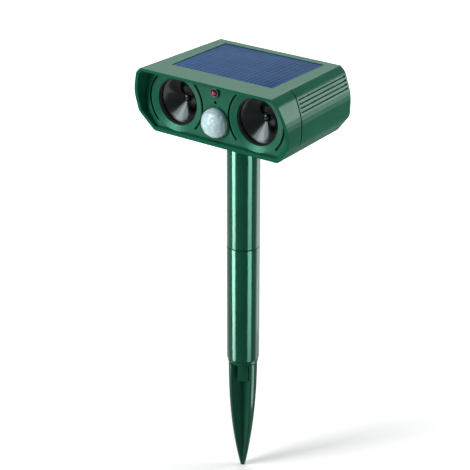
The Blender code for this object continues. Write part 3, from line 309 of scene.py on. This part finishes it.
def make_materials():
    """A material for each slot, given to the CAD nodes; the lower case has a duller green."""
    green = {"Specular_IOR_Level": 0.10, "Specular_Tint": GREEN_SHEEN}
    gloss = {"Specular_IOR_Level": 0.13, "Specular_Tint": GREEN_SHEEN}
    satin = {"Specular_IOR_Level": 0.24, "Specular_Tint": GREEN_SHEEN}
    matte = {"Specular_IOR_Level": 0.03, "Specular_Tint": GREEN_SHEEN}
    found = {
        "green_plastic": moulded("green_plastic", GREEN, 0.34, 900, 0.000003, under=0.75, **green),
        "tube_plastic": moulded("tube_plastic", tinted(GREEN, 0.62), 0.15, 300, 0.000003, 0.0, **gloss),
        "panel_plastic": moulded("panel_plastic", tinted(GREEN, 0.90), 0.30, 1100, 0.00001, **satin),
        "black_plastic": moulded("black_plastic", (0.012, 0.012, 0.013), 0.4),
        "black_rubber": moulded("black_rubber", (0.008, 0.008, 0.008), 0.75, 500, 0.00005),
        "aluminium_cone": moulded("aluminium_cone", CONE_PAINTED_DARK, 0.17, 200, 0.00001, Metallic=1.0),
        "brass_disc": moulded("brass_disc", (0.75, 0.56, 0.25), 0.3, Metallic=1.0),
        "steel": moulded("steel", (0.55, 0.56, 0.58), 0.3, Metallic=1.0),
        "lens_plastic": lens_material(),
        "red_led": moulded("red_led", (0.24, 0.025, 0.022), 0.12),
        "solar_cells": solar_material(),
        "circuit_board": moulded("circuit_board", (0.010, 0.090, 0.030), 0.5),
        "copper_winding": moulded("copper_winding", (0.60, 0.25, 0.12), 0.4, Metallic=1.0),
        "battery_wrapper": moulded("battery_wrapper", (0.05, 0.20, 0.40), 0.3),
        "red_lead": moulded("red_lead", (0.45, 0.02, 0.02), 0.5),
        "grey_lead": moulded("grey_lead", (0.35, 0.35, 0.36), 0.5),
    }
    found["dial_paint"] = moulded("dial_paint", (0.70, 0.71, 0.69), 0.5)
    lower = moulded("green_matte", GREEN, 0.5, 700, 0.00002, **matte)
    for sub in frame["record"]["subparts"]:
        name, slots = sub["node"], nodes[sub["node"]].data.materials
        slots.clear()
        slots.append(lower if name == "lower_case" else found[sub["material_slot"]])
    return found


# Pieces
SHARP_ANGLE = math.radians(40)


def piece(name, bm, finish, body, slot, *replaced):
    """A new piece that rides on a body and stands for the CAD nodes it replaces, if any."""
    bmesh.ops.recalc_face_normals(bm, faces=bm.faces)
    mesh = bpy.data.meshes.new(name)
    bm.to_mesh(mesh)
    bm.free()
    mesh.shade_smooth()
    mesh.set_sharp_from_angle(angle=SHARP_ANGLE)
    mesh.materials.append(finish)
    made = bpy.data.objects.new(name, mesh)
    scene.collection.objects.link(made)
    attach(made, body)
    if replaced:
        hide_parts(*replaced)


def add_loft(bm, rings):
    """Join outlines that have equally many points, and close both ends."""
    loops = [[bm.verts.new(point) for point in ring] for ring in rings]
    count = len(loops[0])
    for near, far in zip(loops, loops[1:]):
        for i in range(count):
            j = (i + 1) % count
            bm.faces.new((near[i], near[j], far[j], far[i]))
    bm.faces.new(loops[0])
    bm.faces.new(loops[-1])


def add_turned(bm, profile, axis="Z", centre=(0, 0, 0), sides=96):
    """Turn a (radius, height) profile; on the axis it closes, elsewhere it makes a ring."""
    loops = []
    for radius, height in profile:
        loop = []
        for i in range(sides if radius > 0 else 1):
            angle = math.tau * i / sides
            across, other = radius * math.cos(angle), radius * math.sin(angle)
            local = (across, height, other) if axis == "Y" else (across, other, height)
            loop.append(bm.verts.new(Vector(local) + Vector(centre)))
        loops.append(loop)
    pairs = list(zip(loops, loops[1:]))
    if profile[0][0] > 0:
        pairs.append((loops[-1], loops[0]))
    for near, far in pairs:
        for i in range(sides):
            j = (i + 1) % sides
            corners = (near[i % len(near)], near[j % len(near)],
                       far[j % len(far)], far[i % len(far)])
            bm.faces.new(list(dict.fromkeys(corners)))


def rounded(profile, radius, steps=4):
    """Round the inner corners of an open (radius, height) profile."""
    points = [Vector(p) for p in profile]
    made = [points[0]]
    for before, corner, after in zip(points, points[1:], points[2:]):
        into, out = before - corner, after - corner
        reach = min(radius, into.length * 0.45, out.length * 0.45)
        start, end = corner + into.normalized() * reach, corner + out.normalized() * reach
        for i in range(steps + 1):
            t = i / steps
            made.append(start * (1 - t) ** 2 + corner * (2 * t * (1 - t)) + end * t ** 2)
    made.append(points[-1])
    return [tuple(p) for p in made]


TUBE_WALL = 0.0025
TUBE_EDGE = 0.0007                # rounding of the tubes' ends
SPIGOT_LENGTH = 0.0220
SPIGOT_PLAY = 0.0003
SPIGOT_SHOULDER = (0.0050, 0.0025)   # where the bore narrows into the spigot, above its root


def make_tubes(materials):
    """Two tubes; the upper one ends in a spigot that goes into the lower one."""
    for name in ("lower_tube", "upper_tube"):
        low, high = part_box(name)
        radius = high.x
        bore = radius - TUBE_WALL
        foot = low.z + (SPIGOT_LENGTH if name == "upper_tube" else 0)
        outer = rounded([(bore, foot), (radius, foot), (radius, high.z), (bore, high.z)], TUBE_EDGE)
        if name == "upper_tube":
            spigot = bore - SPIGOT_PLAY
            inner = spigot - TUBE_WALL
            nose = rounded([(inner, low.z), (spigot, low.z), (spigot, foot)], TUBE_EDGE)
            start, end = SPIGOT_SHOULDER
            outer = nose + outer[1:] + [(bore, foot + start), (inner, foot + end)]
        bm = bmesh.new()
        add_turned(bm, outer)
        piece(name + "_skin", bm, materials["tube_plastic"], name, "tube_plastic", name)


def turned_by(points, angle, z):
    """Points of a flat outline turned about the pole and set at a height."""
    c, s = math.cos(angle), math.sin(angle)
    return [(x * c - y * s, x * s + y * c, z) for x, y in points]


SPIKE_TURN = math.radians(-18)    # of the vanes about the pole
SPIKE_TOP = 0.0005                # where vanes and tongues start, inside the collar
COLLAR_RADIUS, COLLAR_HEIGHT, PLUG_RADIUS = 0.0142, 0.0038, 0.0122
BARREL_ROUND = 0.0006
VANE_REACH, VANE_TIP, VANE_THICK = 0.0150, 0.0020, 0.0050
VANE_TAPER = 2.3                  # over 1 keeps the vanes wide near the collar
VANE_LEVELS = 40
VANE_SOFT, VANE_FILLET = 0.0008, 0.0010
TONGUE_TURN = math.radians(-36)   # from the vanes
TONGUE_NEAR, TONGUE_FAR, TONGUE_HALF, TONGUE_FOOT = 0.0095, 0.0125, 0.0050, -0.0170
TONGUE_SOFT = 0.0007


def soft_end(near, far, half, soft):
    """A bar's outline from one side round its far end to the other, with softened corners."""
    return [(near, -half), (far - soft, -half), (far - soft * 0.3, -half + soft * 0.3),
            (far, -half + soft), (far, half - soft), (far - soft * 0.3, half - soft * 0.3),
            (far - soft, half), (near, half)]


def add_vanes(bm, tip_z):
    """Four vanes that taper to the tip, with a fillet in each nook between them."""
    rings = []
    for level in range(VANE_LEVELS + 1):
        share = level / VANE_LEVELS
        reach = VANE_TIP + (VANE_REACH - VANE_TIP) * (1 - share ** VANE_TAPER)
        half = min(VANE_THICK / 2, reach * 0.8) * (1 - share / 3)
        soft = min(VANE_SOFT, half * 0.5)
        root = half + min(VANE_FILLET, (reach - half) * 0.3)
        nook = half + (root - half) * 0.3
        quarter = soft_end(root, reach, half, soft) + [(nook, nook)]
        z = SPIKE_TOP - (SPIKE_TOP - tip_z) * share
        rings.append([p for k in range(4) for p in turned_by(quarter, SPIKE_TURN + math.pi / 2 * k, z)])
    add_loft(bm, rings)


def add_tongues(bm):
    """Two tongues that hang from the collar, on opposite sides."""
    soft, foot = TONGUE_SOFT, TONGUE_FOOT
    steps = ((0, SPIKE_TOP), (0, foot + soft), (soft * 0.3, foot + soft * 0.3), (soft, foot))
    for k in range(2):
        angle = SPIKE_TURN + TONGUE_TURN + math.pi * k
        add_loft(bm, [turned_by(soft_end(TONGUE_NEAR, TONGUE_FAR - inset, TONGUE_HALF - inset, soft),
                                angle, z) for inset, z in steps])


def make_spike(materials):
    """Four tapered vanes with rounded edges, a collar, a spigot and two hanging tongues."""
    low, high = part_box("ground_spike")
    collar, step, plug = COLLAR_RADIUS, COLLAR_HEIGHT, PLUG_RADIUS
    barrel = [(collar - 0.002, 0), (collar, 0), (collar, step), (plug, step), (plug, high.z),
              (plug - 0.003, high.z)]
    bm = bmesh.new()
    add_turned(bm, [(0, 0)] + rounded(barrel, BARREL_ROUND) + [(0, high.z)])
    add_vanes(bm, low.z)
    add_tongues(bm)
    piece("ground_spike_skin", bm, materials["tube_plastic"], "spike", "tube_plastic", "ground_spike")


CONE_RIM = 0.0030                 # width of the flat rim
CONE_SKIN = 0.0006
CONE_FLARE = 1.2                  # over 1 bows the wall inwards like a horn
CAP_RADIUS, CAP_RISE = 0.0034, 0.0020


def make_cones(materials):
    """Flared speaker cones with a dome cap over the apex."""
    for word in ("left", "right"):
        node = f"{word}_speaker_cone"
        low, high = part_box(node)
        middle = (low + high) / 2
        radius = (high.x - low.x) / 2
        lip, cap, skin = radius - CONE_RIM, CAP_RADIUS, CONE_SKIN
        apex = high.y - skin - low.y
        seat = apex * (1 - cap / lip) ** CONE_FLARE
        profile = [(cap * math.sin(a), seat - CAP_RISE * math.cos(a)) for a in
                   (math.pi / 2 * i / 10 for i in range(11))]
        profile += [(r, apex * (1 - r / lip) ** CONE_FLARE) for r in
                    (cap + (lip - cap) * i / 16 for i in range(1, 16))]
        profile += [(lip, 0), (radius, 0), (radius, skin), (lip, skin)]
        profile += [(cap, seat + skin), (0, apex + skin)]
        bm = bmesh.new()
        add_turned(bm, profile, "Y", (middle.x, low.y, middle.z), 128)
        piece(node + "_foil", bm, materials["aluminium_cone"], "head", "aluminium_cone", node)


# Polar angle in degrees, and the number of facets from there out
LENS_ROWS = ((0, 1), (20, 6), (42, 10), (64, 14), (84, 16), (90, 1))
LENS_RADIUS = 0.0130
LENS_FACE = -0.0410               # where the dome starts
LENS_FLANGE = 0.0010
LENS_RELIEF = 0.00026             # how far a facet stands out
LENS_SIDES, LENS_STEPS = 160, 45
LENSLET_SHAPE = 0.6               # under 1 makes the facets flatter in the middle


def lens_swell(polar, round_angle):
    """How far a point of the lens stands out: each facet is a shallow lenslet."""
    for (start, count), (end, _) in zip(LENS_ROWS, LENS_ROWS[1:]):
        if start <= polar < end:
            across = (polar - start) / (end - start)
            along = round_angle / 360 * count % 1
            if count == 1:
                return math.cos(math.pi / 2 * across) if start == 0 else 0.0
            return (math.sin(math.pi * across) * math.sin(math.pi * along)) ** LENSLET_SHAPE
    return 0.0


def make_lens(materials):
    """The faceted dome with its flange."""
    low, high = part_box("pir_lens")
    middle = (low + high) / 2
    radius, base, sides = LENS_RADIUS, LENS_FACE, LENS_SIDES
    height = base - low.y
    bm = bmesh.new()
    rings = []
    for row in range(LENS_STEPS + 1):
        polar = 90 * row / LENS_STEPS
        ring = []
        for i in range(sides if row else 1):
            turn = 360 * i / sides
            swell = LENS_RELIEF * (lens_swell(polar, turn) - 1)
            s, c = math.sin(math.radians(polar)), math.cos(math.radians(polar))
            a = math.radians(turn)
            across = (radius + swell * s) * s
            ring.append(bm.verts.new((middle.x + across * math.cos(a), base - (height + swell) * c,
                                      middle.z + across * math.sin(a))))
        rings.append(ring)
    back, flange = high.y, (high.x - low.x) / 2
    for y, r in ((back - LENS_FLANGE, radius), (back - LENS_FLANGE, flange), (back, flange)):
        angles = (math.tau * i / sides for i in range(sides))
        rings.append([bm.verts.new((middle.x + r * math.cos(a), y, middle.z + r * math.sin(a)))
                      for a in angles])
    for near, far in zip(rings, rings[1:]):
        for i in range(sides):
            j = (i + 1) % sides
            corners = (near[i % len(near)], near[j % len(near)], far[j], far[i])
            bm.faces.new(list(dict.fromkeys(corners)))
    bm.faces.new(rings[-1])
    piece("pir_lens_dome", bm, materials["lens_plastic"], "head", "lens_plastic", "pir_lens")


BEZEL_INNER, BEZEL_OUTER = 0.0134, 0.0146
BEZEL_RISE = 0.0006
BEZEL_FOOT = 0.0011               # from the start of the dome back into the panel
BEZEL_ROUND = 0.0004


def make_bezel(materials):
    """The low rim on the panel that frames the lens."""
    low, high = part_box("pir_lens")
    middle = (low + high) / 2
    face, foot = LENS_FACE - BEZEL_RISE, LENS_FACE + BEZEL_FOOT
    rim = [(BEZEL_INNER, foot), (BEZEL_INNER, face), (BEZEL_OUTER, face), (BEZEL_OUTER, foot)]
    bm = bmesh.new()
    add_turned(bm, rounded(rim, BEZEL_ROUND), "Y", (middle.x, 0, middle.z), 128)
    piece("lens_bezel", bm, materials["panel_plastic"], "head", "panel_plastic")


def lens_material():
    """Milky plastic with painted light and shade on its lenslets, lighter in their middles and darker at
    their edges, and tone that differs at random.
    """
    m = Nodes("lens_plastic")
    lenslets = m.add("ShaderNodeTexVoronoi", feature="SMOOTH_F1")
    lenslets.inputs["Scale"].default_value = 330
    lenslets.inputs["Smoothness"].default_value = 0.4
    m.join(m.place, lenslets.inputs["Vector"])
    painted_lenslet_light = m.add("ShaderNodeMath", operation="MULTIPLY_ADD")
    painted_lenslet_light.inputs[1].default_value = 0.9
    m.join(lenslets.outputs["Distance"], painted_lenslet_light.inputs[0])
    m.join(m.spread(m.noise(150, 2), -0.15, 0.45), painted_lenslet_light.inputs[2])
    # Painted light and shade: lenslet middles lighter, edges darker, with random tone from noise
    m.join(m.ramp(painted_lenslet_light.outputs[0], [(0.15, (0.44, 0.58, 0.61)), (0.75, (0.33, 0.47, 0.50))]),
           m.shader.inputs["Base Color"])
    m.join(m.spread(m.noise(60, 2), 0.22, 0.34), m.shader.inputs["Roughness"])
    m.bump(lenslets.outputs["Distance"], 0.0004, 0.5)
    m.set(Specular_IOR_Level=0.6, Sheen_Weight=0.5, Sheen_Roughness=0.35)
    return m.made


LED_RADIUS = 0.0025
LED_FLANGE = 0.0010


def make_led(materials):
    """A round-nosed LED with the flange at its foot."""
    low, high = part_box("status_led")
    middle = (low + high) / 2
    radius = LED_RADIUS
    shoulder = low.y + radius
    profile = [(radius * math.sin(a), shoulder - radius * math.cos(a))
               for a in (math.pi / 2 * i / 12 for i in range(13))]
    flange, step = (high.x - low.x) / 2, high.y - LED_FLANGE
    profile += [(radius, step), (flange, step), (flange, high.y), (0, high.y)]
    bm = bmesh.new()
    add_turned(bm, profile, "Y", (middle.x, 0, middle.z), 40)
    piece("status_led_dome", bm, materials["red_led"], "head", "red_led", "status_led")


CLIP_BORE, CLIP_SLEEVE = 0.0028, 0.0035
CLIP_COLLAR = 0.0016              # how far the collar stands out of the panel
CLIP_ROUND = 0.0008


def make_led_clip(materials):
    """The black clip round the LED: a rounded collar on the panel and a sleeve through it."""
    low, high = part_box("led_clip")
    middle = (low + high) / 2
    radius = (high.x - low.x) / 2
    bore, seat = CLIP_BORE, low.y + CLIP_COLLAR
    profile = rounded([(bore, high.y), (bore, low.y), (radius, low.y), (radius, seat)], CLIP_ROUND)
    profile += [(CLIP_SLEEVE, seat), (CLIP_SLEEVE, high.y)]
    bm = bmesh.new()
    add_turned(bm, profile, "Y", (middle.x, 0, middle.z), 64)
    piece("led_clip_collar", bm, materials["black_plastic"], "head", "black_plastic", "led_clip")


KNOB_FLUTES = 18
FLUTE_DEPTH = 0.0006
KNOB_BORE, KNOB_BORE_STOP = 0.0023, 0.0020
POINTER_HALF, POINTER_START, POINTER_MARGIN = 0.0006, 0.0028, 0.0012
MARK_COUNT, MARK_FIRST, MARK_STEP = 11, -135, 27     # angles in degrees
MARK_HALF, MARK_START = 0.0003, 0.0094
MARK_LONG, MARK_SHORT = 0.0110, 0.0104               # where a mark ends, every fifth one longer


def fluted_ring(radius, depth, y, centre):
    """A round outline with shallow flutes, about a dial's axis."""
    ring = []
    for i in range(KNOB_FLUTES * 8):
        angle = math.tau * i / (KNOB_FLUTES * 8)
        out = radius - depth * (0.5 - 0.5 * math.cos(KNOB_FLUTES * angle)) ** 1.5
        ring.append((centre.x + out * math.cos(angle), y, centre.z + out * math.sin(angle)))
    return ring


def bar_rings(half, low_r, high_r, levels, centre, angle):
    """Outlines of a small bar that lies along a dial's radius; levels are (inset, y)."""
    c, s = math.cos(angle), math.sin(angle)
    rings = []
    for inset, y in levels:
        corners = [(-half + inset, low_r + inset), (half - inset, low_r + inset),
                   (half - inset, high_r - inset), (-half + inset, high_r - inset)]
        rings.append([(centre.x + x * c + z * s, y, centre.z - x * s + z * c) for x, z in corners])
    return rings


def add_marks(bm, centre, face):
    """A scale of plain marks on a panel's face, round a dial."""
    levels = ((0, face - 0.0002), (0, face + 0.0001), (0.0001, face + 0.0002))
    for i in range(MARK_COUNT):
        reach = MARK_LONG if i % 5 == 0 else MARK_SHORT
        turn = math.radians(MARK_FIRST + MARK_STEP * i)
        add_loft(bm, bar_rings(MARK_HALF, MARK_START, reach, levels, centre, turn))


def make_dials(materials):
    """Fluted knobs with a white pointer, and a scale of plain marks round each of them."""
    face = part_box("rear_panel")[1].y
    marks = bmesh.new()
    for word in ("frequency", "sensitivity"):
        low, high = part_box(word + "_knob")
        centre = (low + high) / 2
        radius, base, top = (high.x - low.x) / 2, low.y, high.y
        steps = ((0.0003, 1, base), (0, 1, base + 0.0003), (0.0003, 1, top - 0.0014),
                 (0.0005, 0.8, top - 0.0009), (0.0009, 0.4, top - 0.0003), (0.0014, 0, top),
                 (0.0019, 0, top), (0.0022, 0, top - 0.0003))
        rings = [fluted_ring(KNOB_BORE, 0, y, centre) for y in (top - KNOB_BORE_STOP, base)]
        rings += [fluted_ring(radius - inset, FLUTE_DEPTH * share, y, centre)
                  for inset, share, y in steps]
        bm = bmesh.new()
        add_loft(bm, rings)
        body = word + "_dial"
        piece(word + "_knob_grip", bm, materials["black_plastic"], body, "black_plastic", word + "_knob")
        bm = bmesh.new()
        levels = ((0, top - 0.0010), (0, top - 0.0001), (0.0001, top))
        add_loft(bm, bar_rings(POINTER_HALF, POINTER_START, radius - POINTER_MARGIN, levels, centre, 0))
        piece(word + "_pointer", bm, materials["dial_paint"], body, "lens_plastic")
        add_marks(marks, centre, face)
    piece("dial_marks", marks, materials["dial_paint"], "head", "lens_plastic")


def rounded_outline(low, high, radius, inset, steps=6):
    """Corners of a rounded rectangle across X and Z, drawn in by an inset."""
    points = []
    reach = max(radius - inset, 0.0001)
    left, right = low.x + radius, high.x - radius
    bottom, top = low.z + radius, high.z - radius
    for cx, cz, start in ((right, top, 0), (left, top, 90), (left, bottom, 180), (right, bottom, 270)):
        for i in range(steps + 1):
            angle = math.radians(start + 90 * i / steps)
            points.append((cx + reach * math.cos(angle), cz + reach * math.sin(angle)))
    return points


FLAP_CORNER = 0.0018
RIB_COUNT, RIB_FIRST, RIB_PITCH = 3, 0.0026, 0.0013
RIB_RADIUS, RIB_HALF, RIB_SUNK = 0.0004, 0.0038, 0.0005


def make_port_cover(materials):
    """A rubber flap with a soft rim, a sunk middle and three grip ribs."""
    low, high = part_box("port_cover")
    back, front = low.y, high.y
    steps = ((0.0003, back), (0.0001, back + 0.0002), (0, back + 0.0005), (0, front - 0.0006),
             (0.0002, front - 0.0002), (0.0006, front), (0.0011, front), (0.0015, front - 0.0004))
    bm = bmesh.new()
    add_loft(bm, [[(x, y, z) for x, z in rounded_outline(low, high, FLAP_CORNER, inset)]
                  for inset, y in steps])
    for k in range(RIB_COUNT):
        z = low.z + RIB_FIRST + RIB_PITCH * k
        arc = [(front - RIB_SUNK + RIB_RADIUS * math.sin(a), z + RIB_RADIUS * math.cos(a))
               for a in (math.pi * i / 6 for i in range(7))]
        add_loft(bm, [[(x, *point) for point in arc] for x in (-RIB_HALF, RIB_HALF)])
    piece("port_cover_flap", bm, materials["black_rubber"], "port_cover", "black_rubber", "port_cover")


SOLAR_EDGE = 0.0004


def make_solar(materials):
    """The solar panel's plate, with its upper edge rounded."""
    low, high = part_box("solar_panel")
    edge = SOLAR_EDGE
    bm = bmesh.new()
    rings = []
    for inset, z in ((0, low.z), (0, high.z - edge), (edge * 0.3, high.z - edge * 0.3), (edge, high.z)):
        rings.append([(low.x + inset, low.y + inset, z), (high.x - inset, low.y + inset, z),
                      (high.x - inset, high.y - inset, z), (low.x + inset, high.y - inset, z)])
    add_loft(bm, rings)
    piece("solar_panel_cells", bm, materials["solar_cells"], "head", "solar_cells", "solar_panel")


def solar_material():
    """Dark blue cells under clear resin, with fine silver fingers and wider gaps between cells."""
    m = Nodes("solar_cells")
    split = m.add("ShaderNodeSeparateXYZ")
    m.join(m.place, split.inputs[0])

    def stripes(axis, pitch, width, offset):
        scaled = m.add("ShaderNodeMath", operation="MULTIPLY_ADD")
        scaled.inputs[1].default_value = 1 / pitch
        scaled.inputs[2].default_value = offset
        m.join(split.outputs[axis], scaled.inputs[0])
        wrapped = m.add("ShaderNodeMath", operation="FRACT")
        m.join(scaled.outputs[0], wrapped.inputs[0])
        inside = m.add("ShaderNodeMath", operation="LESS_THAN")
        m.join(wrapped.outputs[0], inside.inputs[0])
        inside.inputs[1].default_value = width / pitch
        return inside.outputs[0]

    def blend(factor, under, over):
        node = m.add("ShaderNodeMix", data_type="RGBA")
        m.join(factor, node.inputs["Factor"])
        m.join(under, node.inputs[6])
        node.inputs[7].default_value = (*over, 1)
        return node.outputs[2]

    blues = [(0.3, (0.004, 0.030, 0.098)), (0.7, (0.007, 0.044, 0.130))]
    cells = m.ramp(m.noise(60, 4, (1, 0.2, 1)), blues)
    fingers = blend(stripes("X", 0.00477, 0.00055, 0.5), cells, (0.035, 0.110, 0.225))
    fine = blend(stripes("Y", 0.0128, 0.0005, 0.1), fingers, (0.020, 0.080, 0.180))
    m.join(fine, m.shader.inputs["Base Color"])
    m.join(m.spread(m.noise(90, 2), 0.30, 0.36), m.shader.inputs["Roughness"])
    m.set(Specular_IOR_Level=0.015)
    return m.made


# Floor
FLOOR_Z = -0.115
FLOOR_HALF = 8
FADE_START, FADE_END = 0.25, 1.2  # distances from the part between which the floor turns white
GLOW_NEAR, GLOW_FAR = 0.04, 1.0


def make_floor():
    """A pale floor that runs into the white background."""
    mesh = bpy.data.meshes.new("floor")
    bm = bmesh.new()
    bmesh.ops.create_grid(bm, x_segments=1, y_segments=1, size=FLOOR_HALF)
    bm.to_mesh(mesh)
    bm.free()
    floor = bpy.data.objects.new("floor", mesh)
    floor.location.z = FLOOR_Z
    scene.collection.objects.link(floor)
    m = Nodes("floor")
    m.join(m.ramp(m.noise(3, 2), [(0.3, (0.73, 0.73, 0.73)), (0.7, (0.76, 0.76, 0.76))]),
           m.shader.inputs["Base Color"])
    m.set(Roughness=0.9, Specular_IOR_Level=0.0)
    distance = m.add("ShaderNodeVectorMath", operation="LENGTH")
    m.join(m.place, distance.inputs[0])
    white = m.spread(distance.outputs["Value"], GLOW_NEAR, GLOW_FAR, FADE_START, FADE_END)
    strength = m.add("ShaderNodeMath", operation="MULTIPLY")
    m.join(background_rays(m.tree), strength.inputs[0])
    m.join(white, strength.inputs[1])
    glow = m.add("ShaderNodeEmission")
    m.join(strength.outputs[0], glow.inputs["Strength"])
    total = m.add("ShaderNodeAddShader")
    m.join(m.shader.outputs["BSDF"], total.inputs[0])
    m.join(glow.outputs["Emission"], total.inputs[1])
    output = m.tree.nodes["Material Output"]
    m.join(total.outputs["Shader"], output.inputs["Surface"])
    mesh.materials.append(m.made)


make_camera()
materials = make_materials()
make_tubes(materials)
make_spike(materials)
make_cones(materials)
make_lens(materials)
make_bezel(materials)
make_led(materials)
make_led_clip(materials)
make_dials(materials)
make_port_cover(materials)
make_solar(materials)
pole = gathered("pole", "lower_tube_skin", "upper_tube_skin")
cones = gathered("cones", "left_speaker_cone_foil", "right_speaker_cone_foil")
front = gathered("front", "front_panel", "pir_lens_dome", "lens_bezel", "status_led_dome",
                 "led_clip_collar", "left_speaker_cone_foil", "right_speaker_cone_foil")
spike = gathered("spike", "ground_spike_skin")
make_light(front, pole, cones, spike)
make_world()
make_floor()
